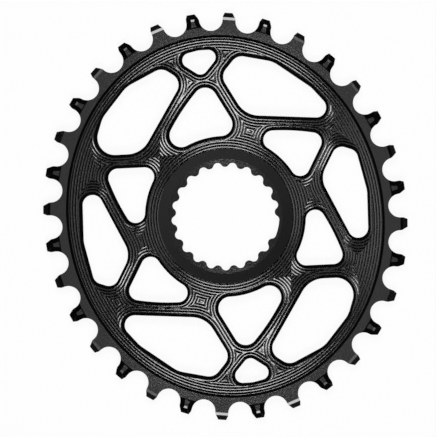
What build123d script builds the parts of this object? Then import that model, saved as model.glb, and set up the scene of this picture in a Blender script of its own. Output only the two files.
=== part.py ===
from build123d import *
from math import asin, cos, hypot, pi, radians, sin, sqrt, tan
import os

# An oval narrow-wide bicycle chainring for direct mounting, machined from one plate.
# Millimetres. The origin is on the crank axis in the plane of the back face, +Z points
# outboard to the front face, and the oval's long axis lies on Y. Angles written here count
# from the long axis at +Y and grow anticlockwise seen from the front. Whatever is named for
# one half of the spider repeats half a turn away.

# Chain and oval
TEETH = 32
CHAIN_PITCH = 12.7
OVAL_RATIO = 1.133  # long axis over short axis of the oval of roller centres
ROLLER_RADIUS = 3.9  # a seated roller's centre above the root
SEAT_RADIUS = 4.12

# Teeth, measured from the line through the two roller centres beside a tooth
TOOTH_TIP = 2.8
TOOTH_BASE = -2.2  # where a wide tooth's boss starts
CLOCKWISE_FLANK_RADIUS = 1.9  # the bend above the seat on the side that pushes the chain
CLOCKWISE_FLANK_ANGLE = 30  # the lean of the straight flank above the bend
TIP_CORNER_LENGTH = 1.35  # the corner cut back at the tip on the other side
TIP_CORNER_WIDTH = 0.54
NARROW_THICKNESS = 2.1
NARROW_BEVEL_LENGTHS = (0.9, 1.6)  # a gentle bevel, then a steeper one up to the tip
NARROW_BEVEL_DROPS = (0.24, 0.69)
WIDE_THICKNESS = 3.8
WIDE_BEVEL_LENGTHS = (0.7, 1.8)
WIDE_BEVEL_DROPS = (0.19, 1.21)
BOSS_FOOT = 0.45  # length of the slope at the root end of a boss
BOSS_TOP_AT_BASE = 2.0  # width of a boss's flat top at its root end
BOSS_TOP_AT_TIP = 0.1
BOSS_SIDE_SLOPE = 36  # degrees

# Plate, its chamfers and the pads raised on its front where ribs meet
PLATE_THICKNESS = 4.9
RIM_FOOT = 1.5  # the plate's side, inward from the root oval
RIM_CHAMFER_WIDTH = 0.95
RIM_CHAMFER_DEPTH = 0.65
WINDOW_CHAMFER_WIDTH = 0.5
WINDOW_CHAMFER_DEPTH = 0.35
PAD_HEIGHT = 0.5
PAD_SLOPE_WIDTH = 0.5
PAD_FROM_WINDOW = 4.0
PAD_FROM_RIM = 3.2
PAD_FROM_HUB = 3.2
PAD_SMALLEST = 4.0  # across the corners; a smaller one is left out

# Hub and spline
HUB_EDGE_RADIUS = 23.5
HUB_FLOOR_RADIUS = 19.9
FLANGE_THICKNESS = 2.8
SPLINE_POSITIONS = 21
SPLINE_TIP_RADIUS = 17.25
SPLINE_ROOT_RADIUS = 18.8
SPLINE_KEY_ANGLE = -111.9  # the position without a tooth

# Spider: ribs run between nodes at the hub and nodes near the rim
RIB_WIDTH = 4.8
HUB_RING_RADIUS = 28.0
HUB_NODE_ANGLES = (-76.0, -18.95, 45.45)
HUB_NODE_RADII = (33.1, 33.35, 33.95)
RIM_NODE_ANGLES = (-60.65, 59.05)
RIM_NODE_RADII = (50.6, 50.85)
FORK_FROM_RIM = 12.55  # from the windows' rim sides to where a fork's two legs meet
FORK_ANGLE = 48.2  # between a leg and the long axis
FORK_ARM = 4.8
FORK_LEG = 16.0
CROWN_RADIUS = 74.0

# Windows' rim sides run through points at the rim's depth, some of them a little deeper
RIM_DEPTH = 6.3
FORK_WINDOW_ANGLES = (-9.0, -0.2, 9.0)
FORK_WINDOW_DEEPER = (0.0, 0.0, 0.0)
LEFT_WINDOW_ANGLES = (13.5, 27.9, 41.7, 56.0)
LEFT_WINDOW_DEEPER = (1.7, -0.3, -0.3, 1.45)
RIGHT_WINDOW_ANGLES = (-58.8, -43.2, -26.6, -13.6)
RIGHT_WINDOW_DEEPER = (-0.15, 0.4, 0.25, 1.75)
SIDE_WINDOW_ANGLES = (-119.5, -89.2, -72.9, -66.9)
SIDE_WINDOW_DEEPER = (-1.2, 0.35, 0.1, 5.3)

# Windows' corner radii
BEND_RADIUS = 9.3
HUB_CORNER = 8.8
SIDE_CORNER = 7.5
TOE_CORNER = 6.0
FORK_CORNER = 4.2
RIM_CORNER = 3.5
SMALL_CORNER = 2.6
FORK_TRIANGLE_CORNER = 4.1
TRIANGLE_CORNER = 3.3

OVERCUT = 1.0  # how far a cutter reaches past the faces that it goes through


def bisect(rises, low, high):
    """The value between low and high where a rising function passes zero."""
    for _ in range(60):
        middle = (low + high) / 2
        if rises(middle) < 0:
            low = middle
        else:
            high = middle
    return low


def polar(angle, radius):
    """A point from its angle to the long axis and its radius."""
    return Vector(-radius * sin(radians(angle)), radius * cos(radians(angle)))


def oval_point(long_half, short_half, turn):
    """A point of an oval at an ellipse angle in radians from the long axis."""
    return Vector(-short_half * sin(turn), long_half * cos(turn))


def roller_turns(long_half):
    """Ellipse angles of the roller centres, one chain pitch apart, with a tooth on the long axis."""
    short_half = long_half / OVAL_RATIO
    turns = [-asin(CHAIN_PITCH / 2 / short_half)]
    for _ in range(TEETH):
        here = oval_point(long_half, short_half, turns[-1])
        turns.append(
            bisect(
                lambda turn: (oval_point(long_half, short_half, turn) - here).length - CHAIN_PITCH,
                turns[-1],
                turns[-1] + 3 * pi / TEETH,
            )
        )
    return turns


def closing_error(long_half):
    """How far the last roller falls short of the first one, as an ellipse angle."""
    turns = roller_turns(long_half)
    return 2 * pi - (turns[-1] - turns[0])


MEAN_RADIUS = TEETH * CHAIN_PITCH / (2 * pi)
PITCH_LONG = bisect(closing_error, 0.9 * MEAN_RADIUS, 1.1 * OVAL_RATIO * MEAN_RADIUS)
PITCH_SHORT = PITCH_LONG / OVAL_RATIO
ROOT_LONG = PITCH_LONG - ROLLER_RADIUS
ROOT_SHORT = PITCH_SHORT - ROLLER_RADIUS
TOOTH_PLANE = PLATE_THICKNESS / 2
BAND_BACK = TOOTH_PLANE - NARROW_THICKNESS / 2
RIM_EDGE = RIM_FOOT + RIM_CHAMFER_WIDTH


def oval(inset, height):
    """The face inside the root oval drawn in by an inset."""
    return Pos(0, 0, height) * Ellipse(ROOT_SHORT - inset, ROOT_LONG - inset)


def rim_point(angle, deeper):
    """A point at the rim's depth inside the root oval, or deeper."""
    inset = RIM_DEPTH + deeper
    long_half = ROOT_LONG - inset
    short_half = ROOT_SHORT - inset
    radius = 1 / hypot(cos(radians(angle)) / long_half, sin(radians(angle)) / short_half)
    return polar(angle, radius)


# Windows: each is a ring of sides, walked anticlockwise with the window on the left


class Straight:
    """A straight side from start towards end."""

    def __init__(self, start, end):
        self.start = start
        self.along = (end - start).normalized()
        self.left = Vector(-self.along.Y, self.along.X)

    def moved(self, inward):
        """The same side moved into the window."""
        start = self.start + self.left * inward
        return Straight(start, start + self.along)

    def foot(self, point):
        """The side's point nearest to a point."""
        return point - self.left * (point - self.start).dot(self.left)

    def edge(self, start, end):
        return Line(start, end)


class Curved:
    """A side on a circle, with the window inside it (sense 1) or outside it (sense -1)."""

    def __init__(self, center, radius, sense):
        self.center = center
        self.radius = radius
        self.sense = sense

    def moved(self, inward):
        """The same side moved into the window."""
        return Curved(self.center, self.radius - self.sense * inward, self.sense)

    def foot(self, point):
        """The side's point nearest to a point."""
        return self.center + (point - self.center).normalized() * self.radius

    def edge(self, start, end):
        middle = self.foot((start + end) / 2)
        return ThreePointArc(start, middle, end)


def crossing(first, second, near):
    """Where two sides cross, nearest to a point."""
    if isinstance(first, Curved) and isinstance(second, Curved):
        between = second.center - first.center
        reach = between.length
        along = (first.radius**2 - second.radius**2 + reach**2) / (2 * reach)
        rise = sqrt(first.radius**2 - along**2)
        middle = first.center + between.normalized() * along
        across = Vector(-between.Y, between.X).normalized()
        found = [middle + across * rise, middle - across * rise]
    elif isinstance(second, Curved):
        middle = first.foot(second.center)
        rise = sqrt(second.radius**2 - (middle - second.center).length ** 2)
        found = [middle + first.along * rise, middle - first.along * rise]
    elif isinstance(first, Curved):
        return crossing(second, first, near)
    else:
        gap = second.start - first.start
        reach = gap.dot(second.left) / first.along.dot(second.left)
        found = [first.start + first.along * reach]
    return min(found, key=lambda point: (point - near).length)


class Window:
    """A window from its sides and, for each, the radius of the corner where it starts."""

    def __init__(self, sides, radii, middle):
        self.sides = sides
        self.radii = radii
        self.centers = []
        for before, after, radius in zip(sides[-1:] + sides[:-1], sides, radii):
            self.centers.append(crossing(before.moved(radius), after.moved(radius), middle))

    def face(self, grow, height):
        """The window's outline moved outward into the metal by grow, as a face."""
        edges = []
        grown = [side.moved(-grow) for side in self.sides]
        count = len(grown)
        for index, center in enumerate(self.centers):
            start = grown[index - 1].foot(center)
            end = grown[index].foot(center)
            way = ((start - center).normalized() + (end - center).normalized()).normalized()
            edges.append(ThreePointArc(start, center + way * (self.radii[index] + grow), end))
            following = self.centers[(index + 1) % count]
            edges.append(grown[index].edge(end, grown[index].foot(following)))
        return Pos(0, 0, height) * make_face(edges)


def rib_side(start, end):
    """The side of a rib walked from node to node, with the window on its left."""
    rib = Straight(start, end)
    return rib.moved(RIB_WIDTH / 2)


def crowned_side(start, end):
    """A rib's side that bulges towards the rib and touches its straight side halfway."""
    rib = Straight(start, end)
    touch = (start + end) / 2 + rib.left * (RIB_WIDTH / 2)
    return Curved(touch + rib.left * CROWN_RADIUS, CROWN_RADIUS, 1)


def rim_sides(angles, depths):
    """Straight window sides through a row of rim points."""
    corners = [rim_point(angle, deeper) for angle, deeper in zip(angles, depths)]
    return [Straight(start, end) for start, end in zip(corners, corners[1:])]


def spider_windows():
    """The seven windows of one half of the spider."""
    side_hub, right_hub, left_hub = map(polar, HUB_NODE_ANGLES, HUB_NODE_RADII)
    right_rim, left_rim = map(polar, RIM_NODE_ANGLES, RIM_NODE_RADII)
    low_rim = -left_rim
    low_hub = -left_hub
    fork = rim_point(0, FORK_FROM_RIM)
    right_leg = polar(-FORK_ANGLE, 1)
    left_leg = polar(FORK_ANGLE, 1)
    right_arm = fork + right_leg * FORK_ARM
    left_arm = fork + left_leg * FORK_ARM
    right_foot = fork + right_leg * FORK_LEG
    left_foot = fork + left_leg * FORK_LEG
    hub = Curved(Vector(0, 0), HUB_RING_RADIUS, -1)
    fork_window = Window(
        rim_sides(FORK_WINDOW_ANGLES, FORK_WINDOW_DEEPER) + [rib_side(left_foot, fork), rib_side(fork, right_foot)],
        [SMALL_CORNER, BEND_RADIUS, SMALL_CORNER, SMALL_CORNER],
        rim_point(0, 0),
    )
    left_window = Window(
        rim_sides(LEFT_WINDOW_ANGLES, LEFT_WINDOW_DEEPER)
        + [rib_side(left_rim, left_hub), rib_side(left_hub, left_arm), rib_side(fork, left_foot)],
        [FORK_CORNER, BEND_RADIUS, BEND_RADIUS, TOE_CORNER, HUB_CORNER, FORK_CORNER],
        left_rim,
    )
    right_window = Window(
        rim_sides(RIGHT_WINDOW_ANGLES, RIGHT_WINDOW_DEEPER)
        + [rib_side(right_foot, fork), rib_side(right_arm, right_hub), rib_side(right_hub, right_rim)],
        [RIM_CORNER, BEND_RADIUS, BEND_RADIUS, FORK_CORNER, FORK_CORNER, HUB_CORNER],
        right_rim,
    )
    side_window = Window(
        rim_sides(SIDE_WINDOW_ANGLES, SIDE_WINDOW_DEEPER) + [rib_side(right_rim, side_hub), rib_side(side_hub, low_rim)],
        [RIM_CORNER, BEND_RADIUS, RIM_CORNER, RIM_CORNER, SIDE_CORNER],
        side_hub,
    )
    fork_triangle = Window(
        [rib_side(right_hub, right_arm), crowned_side(left_arm, left_hub), hub],
        [FORK_TRIANGLE_CORNER] * 3,
        (right_hub + left_hub) / 2,
    )
    right_triangle = Window(
        [rib_side(side_hub, right_rim), crowned_side(right_rim, right_hub), hub],
        [TRIANGLE_CORNER] * 3,
        (right_hub + side_hub) / 2,
    )
    low_triangle = Window(
        [rib_side(low_hub, low_rim), crowned_side(low_rim, side_hub), hub],
        [TRIANGLE_CORNER] * 3,
        (side_hub + low_hub) / 2,
    )
    return [
        fork_window,
        left_window,
        right_window,
        side_window,
        fork_triangle,
        right_triangle,
        low_triangle,
    ]


def both_halves(shapes):
    """Shapes of one half of the spider with their copies half a turn away."""
    return shapes + [Rot(0, 0, 180) * shape for shape in shapes]


# Toothed band


def oval_normal(turn):
    """Outward normal of the oval of roller centres."""
    return Vector(-PITCH_LONG * sin(turn), PITCH_SHORT * cos(turn)).normalized()


class Seat:
    """The round seat under one roller."""

    def __init__(self, turn):
        self.roller = oval_point(PITCH_LONG, PITCH_SHORT, turn)
        normal = oval_normal(turn)
        self.center = self.roller + normal * (SEAT_RADIUS - ROLLER_RADIUS)
        self.bottom = self.roller - normal * ROLLER_RADIUS
        self.circle = Curved(self.center, SEAT_RADIUS, -1)


class Tooth:
    """One tooth between two seats, drawn from the line through the two roller centres."""

    def __init__(self, clockwise_seat, anticlockwise_seat):
        middle = (clockwise_seat.roller + anticlockwise_seat.roller) / 2
        self.across = (clockwise_seat.roller - anticlockwise_seat.roller).normalized()
        self.outward = Vector(-self.across.Y, self.across.X)
        self.middle = Vector(middle.X, middle.Y, TOOTH_PLANE)
        self.clockwise = self.clockwise_flank(clockwise_seat)
        self.anticlockwise = self.anticlockwise_flank(anticlockwise_seat)

    def seat_end(self, seat, way):
        """A seat's point at the tooth's base, its widest point and the tip's height over that one."""
        offset = seat.center - Vector(self.middle.X, self.middle.Y)
        height = offset.dot(self.outward)
        depth = height - TOOTH_BASE
        base = seat.center + self.across * way * sqrt(SEAT_RADIUS**2 - depth**2) - self.outward * depth
        level = seat.center + self.across * way * SEAT_RADIUS
        return base, level, TOOTH_TIP - height

    def clockwise_flank(self, seat):
        """Base, tip and edges of the flank that pushes the chain: it bends, then leans straight."""
        base, level, rise = self.seat_end(seat, -1)
        angle = radians(CLOCKWISE_FLANK_ANGLE)
        bend_rise = CLOCKWISE_FLANK_RADIUS * sin(angle)
        bend_lean = CLOCKWISE_FLANK_RADIUS * (1 - cos(angle))
        tip_lean = bend_lean + (rise - bend_rise) * tan(angle)
        bend = level - self.across * bend_lean + self.outward * bend_rise
        tip = level - self.across * tip_lean + self.outward * rise
        circle = Curved(level - self.across * CLOCKWISE_FLANK_RADIUS, CLOCKWISE_FLANK_RADIUS, 1)
        return base, tip, [seat.circle.edge(base, level), circle.edge(level, bend), Line(bend, tip)]

    def anticlockwise_flank(self, seat):
        """Base, tip and edges of the other flank: it runs straight out to the cut-back corner."""
        base, level, rise = self.seat_end(seat, 1)
        corner = level + self.outward * (rise - TIP_CORNER_LENGTH)
        tip = level + self.across * TIP_CORNER_WIDTH + self.outward * rise
        return base, tip, [seat.circle.edge(base, level), Line(level, corner), Line(corner, tip)]

    def face(self):
        """The tooth's outline above its base."""
        base, tip, flank = self.clockwise
        far_base, far_tip, far_flank = self.anticlockwise
        edges = flank + [Line(tip, far_tip)] + far_flank + [Line(far_base, base)]
        return Pos(0, 0, TOOTH_PLANE) * make_face(edges)

    def section(self, start, lengths, drops, half):
        """A bar along the chain with the tooth's cross-section, from its outline in front of mid-plane."""
        run_out = 0.1
        front = start + [
            (TOOTH_TIP - sum(lengths), half),
            (TOOTH_TIP - lengths[1], half - drops[0]),
            (TOOTH_TIP + run_out * lengths[1], half - sum(drops) - run_out * drops[1]),
        ]
        back = [(out, -up) for out, up in reversed(front)]
        plane = Plane(self.middle, x_dir=self.outward, z_dir=self.across)
        return extrude(plane * make_face(Polyline(*front, *back, close=True)), CHAIN_PITCH / 2, both=True)

    def ridge(self):
        """A bar out along the tooth that tapers in width and slopes away on both sides."""
        half = WIDE_THICKNESS / 2
        spread = half / tan(radians(BOSS_SIDE_SLOPE))
        rings = []
        for out, top in ((TOOTH_BASE, BOSS_TOP_AT_BASE), (TOOTH_TIP, BOSS_TOP_AT_TIP)):
            plane = Plane(self.middle + self.outward * out, x_dir=self.across, z_dir=-self.outward)
            front = [(-top / 2 - spread, 0), (-top / 2, half), (top / 2, half), (top / 2 + spread, 0)]
            back = [(top / 2, -half), (-top / 2, -half)]
            rings.append([plane.from_local_coords(point) for point in front + back])
        low, high = rings
        sides = [[low[i - 1], low[i], high[i], high[i - 1]] for i in range(len(low))]
        return Solid(Shell([Face(Wire.make_polygon(corners)) for corners in [low, high] + sides]))

    def narrow(self):
        """The solid of a narrow tooth."""
        half = NARROW_THICKNESS / 2
        blank = extrude(self.face(), half, both=True)
        return blank & self.section([(TOOTH_BASE, half)], NARROW_BEVEL_LENGTHS, NARROW_BEVEL_DROPS, half)

    def wide(self):
        """The solid of a wide tooth with its boss on both faces."""
        half = WIDE_THICKNESS / 2
        foot = [(TOOTH_BASE, NARROW_THICKNESS / 2), (TOOTH_BASE + BOSS_FOOT, half)]
        blank = extrude(self.face(), half, both=True)
        return blank & self.section(foot, WIDE_BEVEL_LENGTHS, WIDE_BEVEL_DROPS, half) & self.ridge()


def toothed_band():
    """A disc with the seats and teeth around it, wide and narrow teeth alternating."""
    seats = [Seat(turn) for turn in roller_turns(PITCH_LONG)[:TEETH]]
    teeth = [Tooth(seats[index], seats[(index + 1) % TEETH]) for index in range(TEETH)]
    edges = []
    for index, tooth in enumerate(teeth):
        following = teeth[(index + 1) % TEETH]
        seat = seats[(index + 1) % TEETH]
        edges.append(Line(tooth.clockwise[0], tooth.anticlockwise[0]))
        edges.append(ThreePointArc(tooth.anticlockwise[0], seat.bottom, following.clockwise[0]))
    disc = extrude(Pos(0, 0, BAND_BACK) * make_face(edges), NARROW_THICKNESS)
    return disc + [tooth.narrow() if index % 2 else tooth.wide() for index, tooth in enumerate(teeth)]


# Plate, hub and pads


def plate():
    """The thick plate inside the toothed band, with a wide chamfer round both faces."""
    sections = [
        oval(RIM_EDGE, 0),
        oval(RIM_FOOT, RIM_CHAMFER_DEPTH),
        oval(RIM_FOOT, PLATE_THICKNESS - RIM_CHAMFER_DEPTH),
        oval(RIM_EDGE, PLATE_THICKNESS),
    ]
    return loft(sections, ruled=True)


def window_cutter(window):
    """A cutter through the plate that also breaks the window's front edge."""
    sections = [
        window.face(0, -OVERCUT),
        window.face(0, PLATE_THICKNESS - WINDOW_CHAMFER_DEPTH),
        window.face(2 * WINDOW_CHAMFER_WIDTH, PLATE_THICKNESS + WINDOW_CHAMFER_DEPTH),
    ]
    return loft(sections, ruled=True)


def hub_cone(low, low_radius, high, high_radius):
    """A round cutter that widens evenly from one height to another, and beyond the upper one."""
    slope = (high_radius - low_radius) / (high - low)
    top = high_radius + slope * OVERCUT
    return Pos(0, 0, low) * Cone(
        low_radius, top, high + OVERCUT - low, align=(Align.CENTER, Align.CENTER, Align.MIN)
    )


def spline_face():
    """The splined bore: equal arcs in turn convex and hollow, with one tooth left out."""
    half_step = 180 / SPLINE_POSITIONS

    def gap_between(radius):
        tip_center = polar(0, SPLINE_TIP_RADIUS + radius)
        root_center = polar(half_step, SPLINE_ROOT_RADIUS - radius)
        return 2 * radius - (tip_center - root_center).length

    radius = bisect(gap_between, 0, SPLINE_ROOT_RADIUS - SPLINE_TIP_RADIUS + OVERCUT)
    edges = []
    for position in range(1, SPLINE_POSITIONS):
        angle = SPLINE_KEY_ANGLE + 2 * half_step * position
        tip_center = polar(angle, SPLINE_TIP_RADIUS + radius)
        roots = [polar(angle + side * half_step, SPLINE_ROOT_RADIUS) for side in (-1, 1)]
        root_centers = [polar(angle + side * half_step, SPLINE_ROOT_RADIUS - radius) for side in (-1, 1)]
        start, end = [(tip_center + root_center) / 2 for root_center in root_centers]
        edges.append(Curved(root_centers[0], radius, 1).edge(roots[0], start))
        edges.append(ThreePointArc(start, polar(angle, SPLINE_TIP_RADIUS), end))
        edges.append(Curved(root_centers[1], radius, 1).edge(end, roots[1]))
    first = polar(SPLINE_KEY_ANGLE - half_step, SPLINE_ROOT_RADIUS)
    last = polar(SPLINE_KEY_ANGLE + half_step, SPLINE_ROOT_RADIUS)
    edges.append(ThreePointArc(first, polar(SPLINE_KEY_ANGLE, SPLINE_ROOT_RADIUS), last))
    return make_face(edges)


def node_pads(windows):
    """The pads: what is left of a raised front after a slope is cut along the rim, the hub and each window."""
    low = PLATE_THICKNESS
    high = low + PAD_HEIGHT
    over = PAD_HEIGHT / 2
    lead = PAD_SLOPE_WIDTH / PAD_HEIGHT * over
    rim = RIM_EDGE + PAD_FROM_RIM
    hub = HUB_EDGE_RADIUS + PAD_FROM_HUB
    pads = loft([oval(rim, low), oval(rim + PAD_SLOPE_WIDTH, high)], ruled=True)
    pads = pads - hub_cone(low - over, hub - lead, high, hub + PAD_SLOPE_WIDTH)
    flares = []
    for window in windows:
        bottom = window.face(PAD_FROM_WINDOW - lead, low - over)
        top = window.face(PAD_FROM_WINDOW + PAD_SLOPE_WIDTH + lead, high + over)
        flares.append(loft([bottom, top], ruled=True))
    for flare in both_halves(flares):
        pads = pads - flare
    return [pad for pad in pads.solids() if pad.bounding_box().diagonal > PAD_SMALLEST]


def chainring():
    """The whole ring as one solid."""
    windows = spider_windows()
    openings = [window_cutter(window) for window in windows]
    dish = hub_cone(FLANGE_THICKNESS, HUB_FLOOR_RADIUS, PLATE_THICKNESS, HUB_EDGE_RADIUS)
    bore = extrude(spline_face(), PLATE_THICKNESS)
    ring = toothed_band() + plate()
    ring = ring - both_halves(openings) - [dish, bore]
    return ring + node_pads(windows)


os.makedirs("parts", exist_ok=True)
export_step(chainring(), "parts/chainring.step")
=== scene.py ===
from copy import copy
from math import asin, atan2, ceil, cos, pi, radians, sin, sqrt, tan

import bmesh
import bpy
import numpy as np
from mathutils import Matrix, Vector
from mathutils.geometry import delaunay_2d_cdt


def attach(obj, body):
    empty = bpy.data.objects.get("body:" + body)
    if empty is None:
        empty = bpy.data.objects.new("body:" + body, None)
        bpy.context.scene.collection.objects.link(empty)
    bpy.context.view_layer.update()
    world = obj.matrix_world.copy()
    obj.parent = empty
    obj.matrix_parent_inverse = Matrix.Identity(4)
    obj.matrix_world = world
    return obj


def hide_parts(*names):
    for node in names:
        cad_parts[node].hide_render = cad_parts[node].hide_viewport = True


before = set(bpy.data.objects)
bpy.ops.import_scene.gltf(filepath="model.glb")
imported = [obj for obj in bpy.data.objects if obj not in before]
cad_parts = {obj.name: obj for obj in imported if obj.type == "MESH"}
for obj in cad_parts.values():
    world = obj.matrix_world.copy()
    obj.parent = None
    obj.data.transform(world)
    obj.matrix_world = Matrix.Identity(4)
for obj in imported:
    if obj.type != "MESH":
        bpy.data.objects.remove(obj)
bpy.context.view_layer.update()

# The ring's shape is in millimetres, with the same sizes as the solid. Angles count from the
# long axis at +Y and grow anticlockwise seen from the front.
MM = 0.001

# Chain, oval and teeth
TEETH = 32
CHAIN_PITCH = 12.7
OVAL_RATIO = 1.133
ROLLER_RADIUS = 3.9
SEAT_RADIUS = 4.12
TOOTH_TIP = 2.8
TOOTH_BASE = -2.2
CLOCKWISE_FLANK_RADIUS = 1.9
CLOCKWISE_FLANK_ANGLE = 30
TIP_CORNER_LENGTH = 1.35
TIP_CORNER_WIDTH = 0.54
NARROW_THICKNESS = 2.1
NARROW_BEVEL_LENGTHS = (0.9, 1.6)
NARROW_BEVEL_DROPS = (0.24, 0.69)
WIDE_THICKNESS = 3.8
WIDE_BEVEL_LENGTHS = (0.7, 1.8)
WIDE_BEVEL_DROPS = (0.19, 1.21)
BOSS_FOOT = 0.45
BOSS_TOP_AT_BASE = 2.0
BOSS_TOP_AT_TIP = 0.1
BOSS_SIDE_SLOPE = 36

# Plate, rim, hub and spline
PLATE_THICKNESS = 4.9
RIM_FOOT = 1.5
RIM_CHAMFER_WIDTH = 0.95
RIM_CHAMFER_DEPTH = 0.65
WINDOW_CHAMFER_WIDTH = 0.5
WINDOW_CHAMFER_DEPTH = 0.35
HUB_EDGE_RADIUS = 23.5
HUB_FLOOR_RADIUS = 19.9
FLANGE_THICKNESS = 2.8
SPLINE_POSITIONS = 21
SPLINE_TIP_RADIUS = 17.25
SPLINE_ROOT_RADIUS = 18.8
SPLINE_KEY_ANGLE = -111.9

# Spider
RIB_WIDTH = 4.8
HUB_RING_RADIUS = 28.0
HUB_NODE_ANGLES = (-76.0, -18.95, 45.45)
HUB_NODE_RADII = (33.1, 33.35, 33.95)
RIM_NODE_ANGLES = (-60.65, 59.05)
RIM_NODE_RADII = (50.6, 50.85)
FORK_FROM_RIM = 12.55
FORK_ANGLE = 48.2
FORK_ARM = 4.8
FORK_LEG = 16.0
CROWN_RADIUS = 74.0
RIM_DEPTH = 6.3
FORK_WINDOW_ANGLES = (-9.0, -0.2, 9.0)
FORK_WINDOW_DEEPER = (0.0, 0.0, 0.0)
LEFT_WINDOW_ANGLES = (13.5, 27.9, 41.7, 56.0)
LEFT_WINDOW_DEEPER = (1.7, -0.3, -0.3, 1.45)
RIGHT_WINDOW_ANGLES = (-58.8, -43.2, -26.6, -13.6)
RIGHT_WINDOW_DEEPER = (-0.15, 0.4, 0.25, 1.75)
SIDE_WINDOW_ANGLES = (-119.5, -89.2, -72.9, -66.9)
SIDE_WINDOW_DEEPER = (-1.2, 0.35, 0.1, 5.3)
BEND_RADIUS = 9.3
HUB_CORNER = 8.8
SIDE_CORNER = 7.5
TOE_CORNER = 6.0
FORK_CORNER = 4.2
RIM_CORNER = 3.5
SMALL_CORNER = 2.6
FORK_TRIANGLE_CORNER = 4.1
TRIANGLE_CORNER = 3.3

# Terraces on the front: from each boundary, steps of a short steep riser and a hollow tread climb away
EDGE_HEIGHT = 4.65  # at the foot of the first riser round the rim and the hub
STEP_PITCH = 0.97
STEP_COUNT = 9
RISER_WIDTH = 0.14
RISER_SLOPE = 36
HOLLOW_SLOPE = 7.5  # at both sides of a tread
HOLLOW_PIECES = 4
WINDOW_LAND = 0.815  # from a boundary to the foot of its first riser
HUB_LAND = 0.195
RIM_LAND = 0.585
BIG_WINDOW_LEVEL = 2  # steps that the edge of a window stands above the rim and the hub
FORK_TRIANGLE_LEVEL = 2
TRIANGLE_LEVEL = 3

# Drilled dot that shows how the oval is to be set
DOT_ANGLE = -9.0
DOT_FROM_AXIS = 54.75
DOT_RADII = (0.62, 0.5)  # at the top and at the bottom
DOT_DEPTH = 0.15
DOT_SLOPE = 2

# Black anodised surface
REFRACTION = 1.65
REFLECTION = 0.5  # the shader's own middle value
FLANGE_DULLNESS = 0.25  # how much less the front of the spline teeth reflects
ROUGHNESS = (0.07, 0.15)
DYE = (0.0009, 0.0016)  # how much light the dyed layer scatters
CLOUD_SIZE = 6.0
CLOUD_DETAIL = 4.0
GRAIN_SIZE = 0.7
GRAIN_DETAIL = 2.0
GRAIN_DEPTH = 0.012
NOISE_SPAN = (0.3, 0.7)
TURNING_PITCH = 0.5
TURNING_WANDER = 0.4
TURNING_DEPTH = 0.003

# Picture: the photo looks straight onto the front, with the long axis leaning to the left
LEAN = 9.55
FIELD = 152.08
RING_RIGHT = 2.41
RING_UP = 0.745
CAMERA_HEIGHT = 2500.0
SENSOR_WIDTH = 36.0
FLOOR_HALF = 4000.0
FLOOR_WHITE = 0.9  # share of the floor that shows as plain white, over its shadows
PAPER = 0.85

# Lamps: two long ones with weak ones beside them, two small near ones, one overhead, one at the right
LONG_LAMP = {"tilt": 33, "distance": 800, "width": 420, "depth": 220, "watts": 2.7}
WEAK_LAMP = {"tilt": 33, "distance": 800, "width": 250, "depth": 220, "watts": 0.3}
NEAR_LAMP = {"tilt": 9.9, "distance": 258, "width": 42, "depth": 20, "watts": 0.040}
OVERHEAD_LAMP = {"tilt": 0, "distance": 3000, "width": 470, "depth": 470, "watts": 0.42}
RIGHT_LAMP = {"tilt": 11, "distance": 3000, "width": 520, "depth": 400, "watts": 1.3}
LONG_LAMP_BEARINGS = (-6, 174)
WEAK_LAMP_TURNS = (-42, 42)
NEAR_LAMP_BEARINGS = (0, 180)
RIGHT_LAMP_BEARING = 84

# Glow of the surroundings: its strength by height, and how it leans to the right and downward in the photo
GLOW_STOPS = ((0.0, 0.02), (0.40, 0.03), (0.47, 1.0), (0.60, 1.0), (0.68, 0.05), (1.0, 0.03))
GLOW_LEVEL = 0.31
GLOW_LEAN = (0.08, -0.11)

# Mesh
SPACING = 0.8  # between points along a side
FLANK_SPACING = 0.4
ARC_STEP = radians(6)
HUB_POINTS = 240
OVAL_POINTS = 480
DOT_POINTS = 24
WELD = 2e-4  # points closer than this become one
SLIVER = 1e-4
SHARP_ANGLE = 7


def bisect(rises, low, high):
    """The value between low and high where a rising function passes zero."""
    for _ in range(60):
        middle = (low + high) / 2
        if rises(middle) < 0:
            low = middle
        else:
            high = middle
    return low


def polar(angle, radius):
    """A point from its angle to the long axis and its radius."""
    return Vector((-radius * sin(radians(angle)), radius * cos(radians(angle))))


def oval_point(long_half, short_half, turn):
    """A point of an oval at an ellipse angle in radians from the long axis."""
    return Vector((-short_half * sin(turn), long_half * cos(turn)))


def roller_turns(long_half):
    """Ellipse angles of the roller centres, one chain pitch apart, with a tooth on the long axis."""
    short_half = long_half / OVAL_RATIO
    turns = [-asin(CHAIN_PITCH / 2 / short_half)]
    for _ in range(TEETH):
        here = oval_point(long_half, short_half, turns[-1])
        turns.append(
            bisect(
                lambda turn: (oval_point(long_half, short_half, turn) - here).length - CHAIN_PITCH,
                turns[-1],
                turns[-1] + 3 * pi / TEETH,
            )
        )
    return turns


def closing_error(long_half):
    """How far the last roller falls short of the first one, as an ellipse angle."""
    turns = roller_turns(long_half)
    return 2 * pi - (turns[-1] - turns[0])


MEAN_RADIUS = TEETH * CHAIN_PITCH / (2 * pi)
PITCH_LONG = bisect(closing_error, 0.9 * MEAN_RADIUS, 1.1 * OVAL_RATIO * MEAN_RADIUS)
PITCH_SHORT = PITCH_LONG / OVAL_RATIO
ROOT_LONG = PITCH_LONG - ROLLER_RADIUS
ROOT_SHORT = PITCH_SHORT - ROLLER_RADIUS
TOOTH_PLANE = PLATE_THICKNESS / 2
BAND_FRONT = TOOTH_PLANE + NARROW_THICKNESS / 2
RIM_EDGE = RIM_FOOT + RIM_CHAMFER_WIDTH


# Terraces: the front's section is a row of pieces, each a width in plan and a slope


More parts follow.
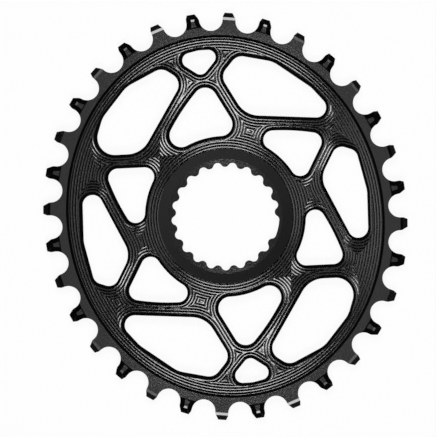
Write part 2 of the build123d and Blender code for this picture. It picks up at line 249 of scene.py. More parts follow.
def hollow(width):
    """The last part of a hollow tread, up to the foot of the next riser."""
    tread = STEP_PITCH - RISER_WIDTH
    pieces = []
    for index in range(HOLLOW_PIECES):
        slope = HOLLOW_SLOPE * ((2 * index + 1) / HOLLOW_PIECES - 1)
        start = max(tread * index / HOLLOW_PIECES, tread - width)
        end = tread * (index + 1) / HOLLOW_PIECES
        if end > start:
            pieces.append((end - start, slope))
    return pieces


def total_rise(pieces):
    return sum(width * tan(radians(slope)) for width, slope in pieces)


class Boundary:
    """An edge that terraces climb away from.

    Its land reaches in plan to the foot of its first riser, its lip to the edge of the front, and
    its level counts the steps that it stands above the rim and the hub.
    """

    lip = 0.0
    level = 0

    def edge(self):
        return self.outline(self.lip)

    def land_pieces(self):
        return hollow(self.land)

    def lowest_foot(self):
        """Where its lowest riser would stand, if its steps went down to the rim's."""
        return self.land - self.level * STEP_PITCH

    def reach(self, points):
        """Distance in plan from the foot of the lowest riser."""
        return self.distance(points) - self.lowest_foot()

    def creases(self):
        """Reach and height of each crease along the front's section, from the lip on."""
        step = [(RISER_WIDTH, RISER_SLOPE)] + hollow(STEP_PITCH - RISER_WIDTH)
        land = self.land_pieces()
        reach = self.lip - self.lowest_foot()
        height = EDGE_HEIGHT + self.level * total_rise(step) - total_rise(land)
        rows = [(reach, height)]
        for width, slope in land + step * (STEP_COUNT - self.level):
            reach += width
            height += width * tan(radians(slope))
            rows.append((reach, height))
        return rows

    def height(self, reach):
        """Height of the front at some reaches."""
        return np.interp(reach, *zip(*self.creases()))

    def edge_height(self):
        return self.creases()[0][1]


# Windows: each is a ring of sides, walked anticlockwise with the window on the left


class Straight:
    """A straight side from start towards end."""

    def __init__(self, start, end):
        self.start = start
        self.along = (end - start).normalized()
        self.left = Vector((-self.along.y, self.along.x))

    def moved(self, inward):
        start = self.start + self.left * inward
        return Straight(start, start + self.along)

    def foot(self, point):
        return point - self.left * (point - self.start).dot(self.left)

    def stretch(self, start, end):
        return LineStretch(start, end)


class Curved:
    """A side on a circle, with the window inside it (sense 1) or outside it (sense -1)."""

    def __init__(self, center, radius, sense):
        self.center = center
        self.radius = radius
        self.sense = sense

    def moved(self, inward):
        return Curved(self.center, self.radius - self.sense * inward, self.sense)

    def foot(self, point):
        return self.center + (point - self.center).normalized() * self.radius

    def stretch(self, start, end):
        return ArcStretch(self.center, start, end, self.sense)


class LineStretch:
    """A straight stretch of a window's edge."""

    def __init__(self, start, end):
        self.start = np.array(start)
        self.length = (end - start).length
        self.along = np.array((end - start) / self.length)
        self.normal = np.array((self.along[1], -self.along[0]))

    def samples(self):
        count = ceil(self.length / SPACING)
        reach = np.arange(count)[:, None] * (self.length / count)
        return self.start + reach * self.along, np.repeat(self.normal[None], count, 0)

    def distance(self, points):
        offset = points - self.start
        reach = offset @ self.along
        beside = (reach > -1e-6) & (reach < self.length + 1e-6)
        return np.where(beside, np.abs(offset @ self.normal), np.inf)


class ArcStretch:
    """A round stretch of a window's edge, the shorter way round from start to end."""

    def __init__(self, center, start, end, sense):
        self.center = np.array(center)
        self.radius = (start - center).length
        self.sense = sense
        first = start - center
        last = end - center
        self.first = atan2(first.y, first.x)
        self.sweep = atan2(first.x * last.y - first.y * last.x, first.dot(last))
        middle = self.first + self.sweep / 2
        self.middle = np.array((cos(middle), sin(middle)))

    def samples(self):
        length = abs(self.sweep) * self.radius
        count = max(ceil(abs(self.sweep) / ARC_STEP), ceil(length / SPACING))
        turn = self.first + np.arange(count) * (self.sweep / count)
        rays = np.stack((np.cos(turn), np.sin(turn)), 1)
        return self.center + rays * self.radius, rays * self.sense

    def distance(self, points):
        offset = points - self.center
        reach = np.hypot(offset[:, 0], offset[:, 1])
        beside = offset @ self.middle > reach * cos(abs(self.sweep) / 2 + 1e-6)
        return np.where(beside, np.abs(reach - self.radius), np.inf)


def crossing(first, second, near):
    """Where two sides cross, nearest to a point."""
    if isinstance(first, Curved) and isinstance(second, Curved):
        between = second.center - first.center
        reach = between.length
        along = (first.radius**2 - second.radius**2 + reach**2) / (2 * reach)
        rise = sqrt(first.radius**2 - along**2)
        middle = first.center + between.normalized() * along
        across = Vector((-between.y, between.x)).normalized()
        found = [middle + across * rise, middle - across * rise]
    elif isinstance(second, Curved):
        middle = first.foot(second.center)
        rise = sqrt(second.radius**2 - (middle - second.center).length ** 2)
        found = [middle + first.along * rise, middle - first.along * rise]
    elif isinstance(first, Curved):
        return crossing(second, first, near)
    else:
        gap = second.start - first.start
        reach = gap.dot(second.left) / first.along.dot(second.left)
        found = [first.start + first.along * reach]
    return min(found, key=lambda point: (point - near).length)


class Window(Boundary):
    """A window's edge, with its distance to points in the metal and outlines drawn round it."""

    land = WINDOW_LAND
    lip = WINDOW_CHAMFER_WIDTH

    def __init__(self, sides, radii, middle, level):
        self.level = level
        self.turned = False
        centers = []
        for before, after, radius in zip(sides[-1:] + sides[:-1], sides, radii):
            centers.append(crossing(before.moved(radius), after.moved(radius), middle))
        self.stretches = []
        for index, center in enumerate(centers):
            start = sides[index - 1].foot(center)
            end = sides[index].foot(center)
            following = centers[(index + 1) % len(centers)]
            self.stretches.append(ArcStretch(center, start, end, 1))
            self.stretches.append(sides[index].stretch(end, sides[index].foot(following)))
        pairs = [stretch.samples() for stretch in self.stretches]
        self.points = np.concatenate([points for points, _ in pairs])
        self.normals = np.concatenate([normals for _, normals in pairs])

    def half_turn(self):
        """The same window half a turn away."""
        twin = copy(self)
        twin.turned = True
        twin.points = -self.points
        twin.normals = -self.normals
        return twin

    def land_pieces(self):
        return [(self.land - self.lip, RISER_SLOPE)]

    def outline(self, out):
        return self.points + self.normals * out

    def distance(self, points):
        seen = -points if self.turned else points
        return np.min([stretch.distance(seen) for stretch in self.stretches], axis=0)


class Hub(Boundary):
    """The edge of the round dish."""

    land = HUB_LAND

    def outline(self, out):
        turn = np.linspace(0, 2 * pi, HUB_POINTS, endpoint=False)
        return np.stack((np.cos(turn), np.sin(turn)), 1) * (HUB_EDGE_RADIUS + out)

    def distance(self, points):
        return np.hypot(points[:, 0], points[:, 1]) - HUB_EDGE_RADIUS


class Rim(Boundary):
    """The oval edge above the toothed band."""

    land = RIM_LAND

    def outline(self, out):
        return oval_outline(RIM_EDGE + out)

    def distance(self, points):
        """How far in the oval through each point is drawn."""
        inset = np.zeros(len(points))
        for _ in range(6):
            short_half = ROOT_SHORT - RIM_EDGE - inset
            long_half = ROOT_LONG - RIM_EDGE - inset
            across = points[:, 0] ** 2 / short_half**2
            along = points[:, 1] ** 2 / long_half**2
            slope = 2 * (across / short_half + along / long_half)
            inset = np.clip(inset - (across + along - 1) / slope, -3, 40)
        return inset


def oval_outline(inset):
    """Points round the root oval drawn in by an inset."""
    turn = np.linspace(0, 2 * pi, OVAL_POINTS, endpoint=False)
    return np.stack(((ROOT_SHORT - inset) * np.cos(turn), (ROOT_LONG - inset) * np.sin(turn)), 1)


def rim_point(angle, deeper):
    """A point at the rim's depth inside the root oval, or deeper."""
    long_half = ROOT_LONG - RIM_DEPTH - deeper
    short_half = ROOT_SHORT - RIM_DEPTH - deeper
    radius = 1 / np.hypot(cos(radians(angle)) / long_half, sin(radians(angle)) / short_half)
    return polar(angle, radius)


def rib_side(start, end):
    """The side of a rib walked from node to node, with the window on its left."""
    return Straight(start, end).moved(RIB_WIDTH / 2)


def crowned_side(start, end):
    """A rib's side that bulges towards the rib and touches its straight side halfway."""
    rib = Straight(start, end)
    touch = (start + end) / 2 + rib.left * (RIB_WIDTH / 2)
    return Curved(touch + rib.left * CROWN_RADIUS, CROWN_RADIUS, 1)


def rim_sides(angles, depths):
    """Straight window sides through a row of rim points."""
    corners = [rim_point(angle, deeper) for angle, deeper in zip(angles, depths)]
    return [Straight(start, end) for start, end in zip(corners, corners[1:])]


def spider_windows():
    """All fourteen windows."""
    side_hub, right_hub, left_hub = map(polar, HUB_NODE_ANGLES, HUB_NODE_RADII)
    right_rim, left_rim = map(polar, RIM_NODE_ANGLES, RIM_NODE_RADII)
    low_rim = -left_rim
    low_hub = -left_hub
    fork = rim_point(0, FORK_FROM_RIM)
    right_leg = polar(-FORK_ANGLE, 1)
    left_leg = polar(FORK_ANGLE, 1)
    right_arm = fork + right_leg * FORK_ARM
    left_arm = fork + left_leg * FORK_ARM
    right_foot = fork + right_leg * FORK_LEG
    left_foot = fork + left_leg * FORK_LEG
    hub = Curved(Vector((0, 0)), HUB_RING_RADIUS, -1)
    half = [
        Window(
            rim_sides(FORK_WINDOW_ANGLES, FORK_WINDOW_DEEPER)
            + [rib_side(left_foot, fork), rib_side(fork, right_foot)],
            [SMALL_CORNER, BEND_RADIUS, SMALL_CORNER, SMALL_CORNER],
            rim_point(0, 0),
            BIG_WINDOW_LEVEL,
        ),
        Window(
            rim_sides(LEFT_WINDOW_ANGLES, LEFT_WINDOW_DEEPER)
            + [rib_side(left_rim, left_hub), rib_side(left_hub, left_arm), rib_side(fork, left_foot)],
            [FORK_CORNER, BEND_RADIUS, BEND_RADIUS, TOE_CORNER, HUB_CORNER, FORK_CORNER],
            left_rim,
            BIG_WINDOW_LEVEL,
        ),
        Window(
            rim_sides(RIGHT_WINDOW_ANGLES, RIGHT_WINDOW_DEEPER)
            + [rib_side(right_foot, fork), rib_side(right_arm, right_hub), rib_side(right_hub, right_rim)],
            [RIM_CORNER, BEND_RADIUS, BEND_RADIUS, FORK_CORNER, FORK_CORNER, HUB_CORNER],
            right_rim,
            BIG_WINDOW_LEVEL,
        ),
        Window(
            rim_sides(SIDE_WINDOW_ANGLES, SIDE_WINDOW_DEEPER)
            + [rib_side(right_rim, side_hub), rib_side(side_hub, low_rim)],
            [RIM_CORNER, BEND_RADIUS, RIM_CORNER, RIM_CORNER, SIDE_CORNER],
            side_hub,
            BIG_WINDOW_LEVEL,
        ),
        Window(
            [rib_side(right_hub, right_arm), crowned_side(left_arm, left_hub), hub],
            [FORK_TRIANGLE_CORNER] * 3,
            (right_hub + left_hub) / 2,
            FORK_TRIANGLE_LEVEL,
        ),
        Window(
            [rib_side(side_hub, right_rim), crowned_side(right_rim, right_hub), hub],
            [TRIANGLE_CORNER] * 3,
            (right_hub + side_hub) / 2,
            TRIANGLE_LEVEL,
        ),
        Window(
            [rib_side(low_hub, low_rim), crowned_side(low_rim, side_hub), hub],
            [TRIANGLE_CORNER] * 3,
            (side_hub + low_hub) / 2,
            TRIANGLE_LEVEL,
        ),
    ]
    return half + [window.half_turn() for window in half]


# Mesh building


class Sheet:
    """Points and lines in plan that become a sheet of triangles between its outlines."""

    def __init__(self):
        self.points = []
        self.edges = []
        self.count = 0

    def add(self, points, closed=False):
        """A chain of lines."""
        first = self.count
        self.points.append(np.asarray(points, float))
        self.count += len(points)
        self.edges += [(index, index + 1) for index in range(first, self.count - 1)]
        if closed:
            self.edges.append((self.count - 1, first))

    def triangles(self, outer, holes):
        """Plan points and triangles inside the outer outline and outside the holes."""
        points = [Vector(point) for point in np.concatenate(self.points)]
        found, _, faces, _, _, _ = delaunay_2d_cdt(points, self.edges, [], 0, SLIVER)
        plan = np.array([tuple(point) for point in found])
        corners = np.array(faces)
        middles = plan[corners].mean(axis=1)
        keep = inside(outer, middles)
        for hole in holes:
            keep &= ~inside(hole, middles)
        return plan, corners[keep]


def inside(outline, points):
    """Which points lie inside a closed outline."""
    low = outline.min(axis=0)
    high = outline.max(axis=0)
    near = np.flatnonzero(np.all((points > low) & (points < high), axis=1))
    x, y = points[near].T
    odd = np.zeros(len(near), bool)
    for (x0, y0), (x1, y1) in zip(np.roll(outline, 1, axis=0), outline):
        if y0 != y1:
            passes = (y0 > y) != (y1 > y)
            odd ^= passes & (x < x0 + (y - y0) * (x1 - x0) / (y1 - y0))
    result = np.zeros(len(points), bool)
    result[near] = odd
    return result


class Skin:
    """The ring's surface, gathered from sheets and strips."""

    def __init__(self):
        self.points = []
        self.faces = []

    def add(self, points, faces):
        first = len(self.points)
        self.points += [tuple(point) for point in points]
        self.faces += [tuple(int(corner) + first for corner in face) for face in faces]

    def sheet(self, plan, heights, triangles, down=False):
        points = np.column_stack((plan, heights))
        self.add(points, triangles[:, ::-1] if down else triangles)

    def strip(self, upper, upper_height, lower, lower_height, flip=False):
        """Quads between two closed outlines with equal numbers of points."""
        count = len(upper)
        top = np.column_stack((upper, np.broadcast_to(upper_height, count)))
        bottom = np.column_stack((lower, np.broadcast_to(lower_height, count)))
        faces = []
        for index in range(count):
            after = (index + 1) % count
            face = (index, count + index, count + after, after)
            faces.append(face[::-1] if flip else face)
        self.add(np.concatenate((top, bottom)), faces)

    def mesh(self, name):
        mesh = bpy.data.meshes.new(name)
        mesh.from_pydata([tuple(value * MM for value in point) for point in self.points], [], self.faces)
        work = bmesh.new()
        work.from_mesh(mesh)
        bmesh.ops.remove_doubles(work, verts=work.verts, dist=WELD * MM)
        bmesh.ops.dissolve_degenerate(work, edges=work.edges, dist=SLIVER * MM)
        bmesh.ops.recalc_face_normals(work, faces=work.faces)
        work.to_mesh(mesh)
        work.free()
        return mesh


# Front of the spider


def trimmed(outline, reach, others):
    """The parts of a closed outline, at a reach from its boundary, where no other boundary is nearer."""
    margin = np.min([other.reach(outline) for other in others], axis=0) - reach
    if np.all(margin >= 0):
        return [(outline, True)]
    if np.all(margin < 0):
        return []
    count = len(outline)
    start = next(index for index in range(count) if margin[index] < 0 and margin[(index + 1) % count] >= 0)
    parts = []
    part = []
    for step in range(count):
        here = (start + step) % count
        after = (here + 1) % count
        if margin[here] >= 0:
            part.append(outline[here])
        if (margin[here] >= 0) != (margin[after] >= 0):
            share = margin[here] / (margin[here] - margin[after])
            part.append(outline[here] + (outline[after] - outline[here]) * share)
            if margin[after] < 0:
                parts.append((np.array(part), False))
                part = []
    return parts


def spider_front(skin, windows):
    """The terraced front between the rim's edge, the dish and the windows, with the drilled dot."""
    boundaries = windows + [Hub(), Rim()]
    sheet = Sheet()
    for boundary in boundaries:
        others = [other for other in boundaries if other is not boundary]
        sheet.add(boundary.edge(), closed=True)
        for reach, _ in boundary.creases()[1:]:
            for part, closed in trimmed(boundary.outline(boundary.lowest_foot() + reach), reach, others):
                sheet.add(part, closed)
    dot = np.array([polar(DOT_ANGLE, DOT_FROM_AXIS)])
    turn = np.linspace(0, 2 * pi, DOT_POINTS, endpoint=False)
    for radius in DOT_RADII:
        sheet.add(dot + radius * np.stack((np.cos(turn), np.sin(turn)), 1), closed=True)
    sheet.add(dot)
    holes = [window.edge() for window in windows] + [Hub().edge()]
    plan, triangles = sheet.triangles(Rim().edge(), holes)
    reaches = np.array([boundary.reach(plan) for boundary in boundaries])
    nearest = reaches.argmin(axis=0)
    heights = np.zeros(len(plan))
    for index, boundary in enumerate(boundaries):
        own = nearest == index
        heights[own] = boundary.height(reaches[index, own])
    from_dot = np.hypot(*(plan - dot).T)
    drilled = from_dot < DOT_RADII[1] + 1e-3
    bottom = heights[drilled].min() - DOT_DEPTH
    heights[drilled] = bottom - (DOT_RADII[1] - from_dot[drilled]) * tan(radians(DOT_SLOPE))
    skin.sheet(plan, heights, triangles)


# Toothed band


def oval_normal(turn):
    return Vector((-PITCH_LONG * sin(turn), PITCH_SHORT * cos(turn))).normalized()


class Seat:
    """The round seat under one roller."""

    def __init__(self, turn):
        self.roller = oval_point(PITCH_LONG, PITCH_SHORT, turn)
        self.normal = oval_normal(turn)
        self.center = self.roller + self.normal * (SEAT_RADIUS - ROLLER_RADIUS)


def bent_lean(rise):
    """How far the clockwise flank leans over at a height above the seat's widest point."""
    angle = radians(CLOCKWISE_FLANK_ANGLE)
    bend = CLOCKWISE_FLANK_RADIUS * sin(angle)
    if rise < bend:
        return CLOCKWISE_FLANK_RADIUS - sqrt(CLOCKWISE_FLANK_RADIUS**2 - rise**2)
    return CLOCKWISE_FLANK_RADIUS * (1 - cos(angle)) + (rise - bend) * tan(angle)


def corner_lean(rise):
    """How far the anticlockwise flank is cut back at a height above the corner's start."""
    return max(rise, 0.0) * TIP_CORNER_WIDTH / TIP_CORNER_LENGTH


class Tooth:
    """One tooth between two seats, in a frame with x clockwise and y outward."""

    base_drop = 0.12  # from the boss's foot to the level band below it

    def __init__(self, clockwise_seat, anticlockwise_seat, wide):
        self.wide = wide
        self.middle = (clockwise_seat.roller + anticlockwise_seat.roller) / 2
        self.across = (clockwise_seat.roller - anticlockwise_seat.roller).normalized()
        self.outward = Vector((-self.across.y, self.across.x))
        lengths = WIDE_BEVEL_LENGTHS if wide else NARROW_BEVEL_LENGTHS
        self.bevels = (TOOTH_TIP - sum(lengths), TOOTH_TIP - lengths[1])
        bend = CLOCKWISE_FLANK_RADIUS * sin(radians(CLOCKWISE_FLANK_ANGLE))
        self.clockwise = self.flank(clockwise_seat, -1, bend, bent_lean)
        corner = TOOTH_TIP - TIP_CORNER_LENGTH
        corner -= (anticlockwise_seat.center - self.middle).dot(self.outward)

        def cut_back(rise):
            return corner_lean(rise - corner)

        self.anticlockwise = self.flank(anticlockwise_seat, 1, corner, cut_back)

    def flank(self, seat, way, turn, lean):
        """Points of one flank from below the base to the tip, leaning over above the seat's middle."""
        offset = seat.center - self.middle
        x0 = offset.dot(self.across)
        y0 = offset.dot(self.outward)
        stations = {TOOTH_BASE - self.base_drop, TOOTH_BASE, TOOTH_BASE + BOSS_FOOT, TOOTH_TIP}
        stations = sorted(stations | {y0, y0 + turn} | set(self.bevels))
        rows = []
        for low, high in zip(stations, stations[1:]):
            rows += list(np.linspace(low, high, ceil((high - low) / FLANK_SPACING), endpoint=False))
        rows.append(TOOTH_TIP)
        points = []
        for y in rows:
            if y <= y0:
                reach = sqrt(SEAT_RADIUS**2 - (y0 - y) ** 2)
            else:
                reach = SEAT_RADIUS + lean(y - y0)
            points.append((x0 + way * reach, y))
        return points

    def placed(self, points):
        return np.array([tuple(self.middle + self.across * x + self.outward * y) for x, y in points])

    def rise(self, x, y):
        """Height of the face over the ring's mid-plane."""
        low = NARROW_THICKNESS / 2
        if not self.wide:
            knots = (TOOTH_BASE, *self.bevels, TOOTH_TIP)
            first, second = NARROW_BEVEL_DROPS
            return float(np.interp(y, knots, (low, low, low - first, low - first - second)))
        if y < TOOTH_BASE - self.base_drop / 2:
            return low
        high = WIDE_THICKNESS / 2
        first, second = WIDE_BEVEL_DROPS
        knots = (TOOTH_BASE, TOOTH_BASE + BOSS_FOOT, *self.bevels, TOOTH_TIP)
        section = np.interp(y, knots, (low, high, high, high - first, high - first - second))
        side = high - (abs(x) - self.half_top(y)) * tan(radians(BOSS_SIDE_SLOPE))
        return float(min(section, side))

    def half_top(self, y):
        share = (y - TOOTH_BASE) / (TOOTH_TIP - TOOTH_BASE)
        return (BOSS_TOP_AT_BASE + (BOSS_TOP_AT_TIP - BOSS_TOP_AT_BASE) * share) / 2

    def creases(self):
        """Lines across and along the face where its slope changes."""
        right = {round(y, 6): x for x, y in self.clockwise}
        left = {round(y, 6): x for x, y in self.anticlockwise}
        if not self.wide:
            return [[(left[round(y, 6)], y), (right[round(y, 6)], y)] for y in self.bevels]
        low = NARROW_THICKNESS / 2
        high = WIDE_THICKNESS / 2
        first, second = WIDE_BEVEL_DROPS
        falls = (high - low, 0, 0, first, first + second)
        rows = (TOOTH_BASE, TOOTH_BASE + BOSS_FOOT, *self.bevels, TOOTH_TIP)
        widths = [self.half_top(y) + fall / tan(radians(BOSS_SIDE_SLOPE)) for y, fall in zip(rows, falls)]
        lines = []
        for side, edge in ((1, right), (-1, left)):
            line = []
            for x, y in zip(widths, rows):
                line.append((side * min(x, abs(edge[round(y, 6)])), y))
            lines.append(line)
        for y in (TOOTH_BASE - self.base_drop, TOOTH_BASE):
            lines.append([(left[round(y, 6)], y), (right[round(y, 6)], y)])
        lines += [[left_end, right_end] for right_end, left_end in list(zip(*lines[:2]))[1:-1]]
        return lines


def seat_bottom(seat, start, end):
    """Points between the ends of a seat's lowest stretch."""
    stretch = ArcStretch(seat.center, Vector(start), Vector(end), 1)
    return stretch.samples()[0][1:]


def toothed_band(skin):
    """Front, back and edge of the band outside the rim's step."""
    seats = [Seat(turn) for turn in roller_turns(PITCH_LONG)[:TEETH]]
    teeth = []
    for index in range(TEETH):
        teeth.append(Tooth(seats[index], seats[(index + 1) % TEETH], index % 2 == 0))
    plan = []
    rises = []
    creases = []
    for index, tooth in enumerate(teeth):
        profile = tooth.clockwise + tooth.anticlockwise[::-1]
        placed = tooth.placed(profile)
        following = teeth[(index + 1) % TEETH]
        start_of_next = following.placed(following.clockwise[:1])[0]
        bottom = seat_bottom(seats[(index + 1) % TEETH], placed[-1], start_of_next)
        plan += list(placed) + list(bottom)
        rises += [tooth.rise(x, y) for x, y in profile] + [NARROW_THICKNESS / 2] * len(bottom)
        for line in tooth.creases():
            creases.append((tooth.placed(line), [tooth.rise(x, y) for x, y in line]))
    outline = np.array(plan)
    foot = oval_outline(RIM_FOOT)
    sheet = Sheet()
    sheet.add(outline, closed=True)
    sheet.add(foot, closed=True)
    known = [np.column_stack((outline, rises)), np.column_stack((foot, [NARROW_THICKNESS / 2] * len(foot)))]
    for line, heights in creases:
        sheet.add(line)
        known.append(np.column_stack((line, heights)))
    points, triangles = sheet.triangles(outline, [foot])
    lookup = {(round(x, 3), round(y, 3)): rise for x, y, rise in np.concatenate(known)}
    found = np.array([lookup.get((round(x, 3), round(y, 3)), NARROW_THICKNESS / 2) for x, y in points])
    skin.sheet(points, TOOTH_PLANE + found, triangles)
    skin.sheet(points, TOOTH_PLANE - found, triangles, down=True)
    skin.strip(outline, TOOTH_PLANE + np.array(rises), outline, TOOTH_PLANE - np.array(rises))


# Hub and back


def spline_outline():
    """The splined bore: equal arcs in turn convex and hollow, with one tooth left out."""
    half_step = 180 / SPLINE_POSITIONS

    def gap_between(radius):
        tip_center = polar(0, SPLINE_TIP_RADIUS + radius)
        root_center = polar(half_step, SPLINE_ROOT_RADIUS - radius)
        return 2 * radius - (tip_center - root_center).length

    radius = bisect(gap_between, 0, SPLINE_ROOT_RADIUS)
    stretches = []
    for position in range(1, SPLINE_POSITIONS):
        angle = SPLINE_KEY_ANGLE + 2 * half_step * position
        tip_center = polar(angle, SPLINE_TIP_RADIUS + radius)
        before, after = [polar(angle + side * half_step, SPLINE_ROOT_RADIUS - radius) for side in (-1, 1)]
        first, last = [polar(angle + side * half_step, SPLINE_ROOT_RADIUS) for side in (-1, 1)]
        start = (tip_center + before) / 2
        end = (tip_center + after) / 2
        top = polar(angle, SPLINE_TIP_RADIUS)
        stretches.append(ArcStretch(before, first, start, 1))
        stretches.append(ArcStretch(tip_center, start, top, 1))
        stretches.append(ArcStretch(tip_center, top, end, 1))
        stretches.append(ArcStretch(after, end, last, 1))
    first, last = [polar(SPLINE_KEY_ANGLE + side * half_step, SPLINE_ROOT_RADIUS) for side in (-1, 1)]
    stretches.append(ArcStretch(Vector((0, 0)), first, last, 1))
    return np.concatenate([stretch.samples()[0] for stretch in stretches])


def hub_and_back(skin, windows):
    """The dish, flange, bore, window walls, rim steps and the flat back."""
    edge = Hub().edge()
    floor_edge = edge * (HUB_FLOOR_RADIUS / HUB_EDGE_RADIUS)
    bore = spline_outline()
    skin.strip(edge, Hub().edge_height(), floor_edge, FLANGE_THICKNESS)
    flange = Sheet()
    flange.add(floor_edge, closed=True)
    flange.add(bore, closed=True)
    plan, triangles = flange.triangles(floor_edge, [bore])
    skin.sheet(plan, np.full(len(plan), FLANGE_THICKNESS), triangles)
    skin.strip(bore, FLANGE_THICKNESS, bore, 0.0)
    rim = oval_outline(RIM_EDGE)
    foot = oval_outline(RIM_FOOT)
    rim_front = Rim().edge_height()
    skin.strip(rim, rim_front, foot, rim_front - RIM_CHAMFER_DEPTH)
    skin.strip(foot, rim_front - RIM_CHAMFER_DEPTH, foot, BAND_FRONT)
    skin.strip(foot, 2 * TOOTH_PLANE - BAND_FRONT, foot, RIM_CHAMFER_DEPTH)
    skin.strip(foot, RIM_CHAMFER_DEPTH, rim, 0.0)
    back = Sheet()
    back.add(rim, closed=True)
    back.add(bore, closed=True)
    for window in windows:
        wall = window.outline(0)
        edge = window.edge()
        lip = window.height(window.reach(edge))
        skin.strip(edge, lip, wall, lip - WINDOW_CHAMFER_DEPTH)
        skin.strip(wall, lip - WINDOW_CHAMFER_DEPTH, wall, 0.0)
        back.add(wall, closed=True)
    plan, triangles = back.triangles(rim, [bore] + [window.outline(0) for window in windows])
    skin.sheet(plan, np.zeros(len(plan)), triangles, down=True)


def chainring():
    """The whole ring as one mesh."""
    windows = spider_windows()
    skin = Skin()
    spider_front(skin, windows)
    toothed_band(skin)
    hub_and_back(skin, windows)
    mesh = skin.mesh("chainring_fine")
    mesh.shade_smooth()
    mesh.set_sharp_from_angle(angle=radians(SHARP_ANGLE))
    piece = bpy.data.objects.new("chainring_fine", mesh)
    bpy.context.scene.collection.objects.link(piece)
    return piece


# Material, light and camera


def noise(nodes, links, place, size, detail):
    """A cloudy noise over the object."""
    texture = nodes.new("ShaderNodeTexNoise")
    texture.inputs["Scale"].default_value = 1 / (size * MM)
    texture.inputs["Detail"].default_value = detail
    links.new(place.outputs["Object"], texture.inputs["Vector"])
    return texture.outputs["Fac"]


def spread(nodes, links, value, span):
    """A noise stretched over a span of values."""
    stretch = nodes.new("ShaderNodeMapRange")
    stretch.inputs["From Min"].default_value = NOISE_SPAN[0]
    stretch.inputs["From Max"].default_value = NOISE_SPAN[1]
    stretch.inputs["To Min"].default_value = span[0]
    stretch.inputs["To Max"].default_value = span[1]
    links.new(value, stretch.inputs["Value"])
    return stretch.outputs["Result"]


def within(nodes, links, radius, limit):
    """One inside a distance from the axis and zero outside it."""
    test = nodes.new("ShaderNodeMath")
    test.operation = "LESS_THAN"
    test.inputs[1].default_value = limit * MM
    links.new(radius.outputs["Value"], test.inputs[0])
    return test.outputs[0]


def black_anodised():
    """Dyed anodised aluminium with a grained sheen, turning marks in the dish and a duller flange."""
    material = bpy.data.materials.new("black_anodised")
    material.use_nodes = True
    nodes = material.node_tree.nodes
    links = material.node_tree.links
    shader = nodes["Principled BSDF"]
    shader.inputs["IOR"].default_value = REFRACTION
    place = nodes.new("ShaderNodeTexCoord")
    cloud = noise(nodes, links, place, CLOUD_SIZE, CLOUD_DETAIL)
    grain = noise(nodes, links, place, GRAIN_SIZE, GRAIN_DETAIL)
    links.new(spread(nodes, links, cloud, DYE), shader.inputs["Base Color"])
    links.new(spread(nodes, links, grain, ROUGHNESS), shader.inputs["Roughness"])

    flat = nodes.new("ShaderNodeVectorMath")
    flat.operation = "MULTIPLY"
    flat.inputs[1].default_value = (1.0, 1.0, 0.0)
    links.new(place.outputs["Object"], flat.inputs[0])
    radius = nodes.new("ShaderNodeVectorMath")
    radius.operation = "LENGTH"
    links.new(flat.outputs["Vector"], radius.inputs[0])
    dull = nodes.new("ShaderNodeMath")
    dull.operation = "MULTIPLY_ADD"
    dull.inputs[1].default_value = -FLANGE_DULLNESS
    dull.inputs[2].default_value = REFLECTION
    links.new(within(nodes, links, radius, HUB_FLOOR_RADIUS), dull.inputs[0])
    links.new(dull.outputs[0], shader.inputs["Specular IOR Level"])

    grained = nodes.new("ShaderNodeBump")
    grained.inputs["Distance"].default_value = GRAIN_DEPTH * MM
    links.new(grain, grained.inputs["Height"])
    rings = nodes.new("ShaderNodeTexWave")
    rings.wave_type = "RINGS"
    rings.rings_direction = "Z"
    rings.inputs["Scale"].default_value = 2 * pi / (20 * TURNING_PITCH * MM)
    rings.inputs["Distortion"].default_value = TURNING_WANDER
    links.new(place.outputs["Object"], rings.inputs["Vector"])
    marks = nodes.new("ShaderNodeMath")
    marks.operation = "MULTIPLY"
    links.new(rings.outputs["Fac"], marks.inputs[0])
    links.new(within(nodes, links, radius, HUB_EDGE_RADIUS), marks.inputs[1])
    turned = nodes.new("ShaderNodeBump")
    turned.inputs["Distance"].default_value = TURNING_DEPTH * MM
    links.new(marks.outputs[0], turned.inputs["Height"])
    links.new(grained.outputs["Normal"], turned.inputs["Normal"])
    links.new(turned.outputs["Normal"], shader.inputs["Normal"])
    return material


def in_photo(right, up):
    """A point of the floor from its place in the photo, in millimetres from the ring's axis."""
    lean = radians(LEAN)
    return Vector((right * cos(lean) + up * sin(lean), up * cos(lean) - right * sin(lean), 0.0))


def softbox(name, bearing, tilt, distance, width, depth, watts):
    """A flat lamp that faces the ring, from its bearing in the photo and its tilt from overhead."""
    lamp = bpy.data.lights.new(name, "AREA")
    lamp.shape = "RECTANGLE"
    lamp.size = width * MM
    lamp.size_y = depth * MM
    lamp.energy = watts
    rig = bpy.data.objects.new(name, lamp)
    bpy.context.scene.collection.objects.link(rig)
    out = distance * sin(radians(tilt))
    place = in_photo(out * sin(radians(bearing)), out * cos(radians(bearing)))
    rig.location = Vector((place.x, place.y, distance * cos(radians(tilt)))) * MM
    rig.rotation_euler = (-radians(tilt), 0.0, -radians(LEAN + bearing))


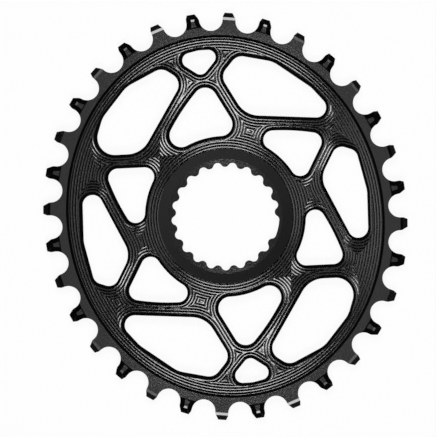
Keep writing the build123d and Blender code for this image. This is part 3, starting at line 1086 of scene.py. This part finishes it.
def paper_floor():
    """White paper that keeps the ring's shadow and that the metal mirrors as the camera sees it."""
    mesh = bpy.data.meshes.new("floor")
    half = FLOOR_HALF * MM
    corners = [(-half, -half, 0), (half, -half, 0), (half, half, 0), (-half, half, 0)]
    mesh.from_pydata(corners, [], [(0, 1, 2, 3)])
    material = bpy.data.materials.new("floor_paper")
    material.use_nodes = True
    nodes = material.node_tree.nodes
    links = material.node_tree.links
    paper = nodes["Principled BSDF"]
    paper.inputs["Base Color"].default_value = (PAPER, PAPER, PAPER, 1.0)
    paper.inputs["Roughness"].default_value = 0.9
    paper.inputs["Specular IOR Level"].default_value = 0.0
    white = nodes.new("ShaderNodeEmission")
    white.inputs["Strength"].default_value = 1.0
    path = nodes.new("ShaderNodeLightPath")
    seen = path.outputs["Is Camera Ray"]
    for name in ("Is Glossy Ray", "Is Transmission Ray"):
        either = nodes.new("ShaderNodeMath")
        either.operation = "MAXIMUM"
        links.new(seen, either.inputs[0])
        links.new(path.outputs[name], either.inputs[1])
        seen = either.outputs[0]
    share = nodes.new("ShaderNodeMath")
    share.operation = "MULTIPLY"
    share.inputs[1].default_value = FLOOR_WHITE
    links.new(seen, share.inputs[0])
    mix = nodes.new("ShaderNodeMixShader")
    links.new(share.outputs[0], mix.inputs["Fac"])
    links.new(paper.outputs["BSDF"], mix.inputs[1])
    links.new(white.outputs["Emission"], mix.inputs[2])
    links.new(mix.outputs["Shader"], nodes["Material Output"].inputs["Surface"])
    mesh.materials.append(material)
    piece = bpy.data.objects.new("floor", mesh)
    bpy.context.scene.collection.objects.link(piece)


def studio():
    """Dim surroundings with a glowing ring all round, 53 to 62 degrees from overhead."""
    world = bpy.data.worlds.new("studio")
    bpy.context.scene.world = world
    world.use_nodes = True
    nodes = world.node_tree.nodes
    links = world.node_tree.links
    place = nodes.new("ShaderNodeTexCoord")
    split = nodes.new("ShaderNodeSeparateXYZ")
    links.new(place.outputs["Generated"], split.inputs["Vector"])
    glow = nodes.new("ShaderNodeFloatCurve")
    curve = glow.mapping.curves[0]
    curve.points[0].location = GLOW_STOPS[0]
    curve.points[1].location = GLOW_STOPS[-1]
    for stop in GLOW_STOPS[1:-1]:
        curve.points.new(*stop)
    for point in curve.points:
        point.handle_type = "VECTOR"
    glow.mapping.update()
    links.new(split.outputs["Z"], glow.inputs["Value"])
    side = nodes.new("ShaderNodeVectorMath")
    side.operation = "DOT_PRODUCT"
    links.new(place.outputs["Generated"], side.inputs[0])
    side.inputs[1].default_value = in_photo(*GLOW_LEAN)
    level = nodes.new("ShaderNodeMath")
    level.operation = "ADD"
    level.inputs[1].default_value = GLOW_LEVEL
    links.new(side.outputs["Value"], level.inputs[0])
    strength = nodes.new("ShaderNodeMath")
    strength.operation = "MULTIPLY"
    links.new(glow.outputs["Value"], strength.inputs[0])
    links.new(level.outputs[0], strength.inputs[1])
    links.new(strength.outputs[0], nodes["Background"].inputs["Strength"])
    nodes["Background"].inputs["Color"].default_value = (1.0, 1.0, 1.0, 1.0)


def photo_camera():
    """A camera high above the ring, with the photo's field at the plate's face."""
    lens = bpy.data.cameras.new("camera")
    lens.sensor_width = SENSOR_WIDTH
    lens.lens = SENSOR_WIDTH * (CAMERA_HEIGHT - PLATE_THICKNESS) / FIELD
    lens.clip_end = 4 * CAMERA_HEIGHT * MM
    camera = bpy.data.objects.new("camera", lens)
    bpy.context.scene.collection.objects.link(camera)
    camera.location = in_photo(-RING_RIGHT, -RING_UP) * MM + Vector((0, 0, CAMERA_HEIGHT * MM))
    camera.rotation_euler = (0, 0, -radians(LEAN))
    bpy.context.scene.camera = camera


ring = chainring()
ring.data.materials.append(black_anodised())
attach(ring, "root")
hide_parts("chainring")

paper_floor()
studio()
for bearing in LONG_LAMP_BEARINGS:
    softbox(f"lamp_{bearing}", bearing, **LONG_LAMP)
    for turn in WEAK_LAMP_TURNS:
        softbox(f"lamp_{bearing + turn}", bearing + turn, **WEAK_LAMP)
for bearing in NEAR_LAMP_BEARINGS:
    softbox(f"spot_{bearing}", bearing, **NEAR_LAMP)
softbox("lamp_overhead", 0, **OVERHEAD_LAMP)
softbox("lamp_right", RIGHT_LAMP_BEARING, **RIGHT_LAMP)
photo_camera()
bpy.context.scene.view_settings.view_transform = "Standard"
